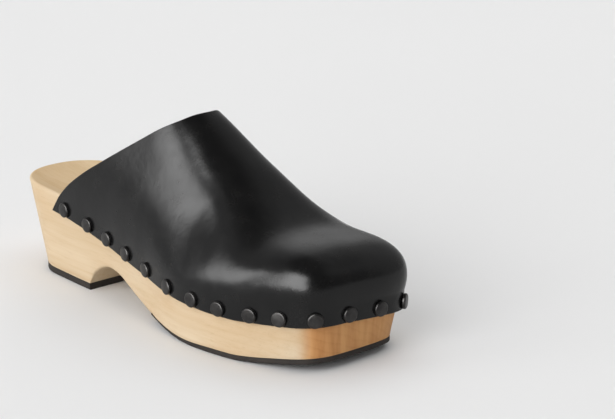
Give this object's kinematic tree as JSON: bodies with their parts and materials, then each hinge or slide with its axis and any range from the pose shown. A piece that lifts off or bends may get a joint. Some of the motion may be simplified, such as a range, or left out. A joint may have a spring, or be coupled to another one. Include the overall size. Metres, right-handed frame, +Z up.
{
  "type": "wooden clog",
  "caption": "Closed-toe mule clog for the right foot: carved wooden sole with block heel, smooth dark leather upper nailed round the edge with flat studs, rubber tread under heel and forefoot.",
  "frame": {"origin": "middle of the box round the clog, on the ground it stands on", "axes": "+X towards the toe, +Y towards the medial (inner) side of this right-foot clog, +Z up"},
  "size_m": [0.2666, 0.097, 0.1121],
  "materials": {
    "pale_wood": "sanded pale wood, clear satin varnish",
    "tread_rubber": "matt dark rubber",
    "black_leather": "smooth polished black leather, satin gloss",
    "lining_leather": "matt dark lining leather",
    "stiffener": "resin-stiffened canvas",
    "stud_metal": "dark gunmetal, satin",
    "nail_steel": "bright steel"
  },
  "bodies": {
    "root": {"wooden_sole": "pale_wood", "forefoot_outsole": "tread_rubber", "heel_top_lift": "tread_rubber", "leather_upper": "black_leather", "vamp_lining": "lining_leather", "toe_puff": "stiffener", "lateral_studs": "stud_metal", "toe_studs": "stud_metal", "medial_studs": "stud_metal", "outsole_nails": "nail_steel", "heel_lift_nails": "nail_steel"}
  },
  "joints": []
}
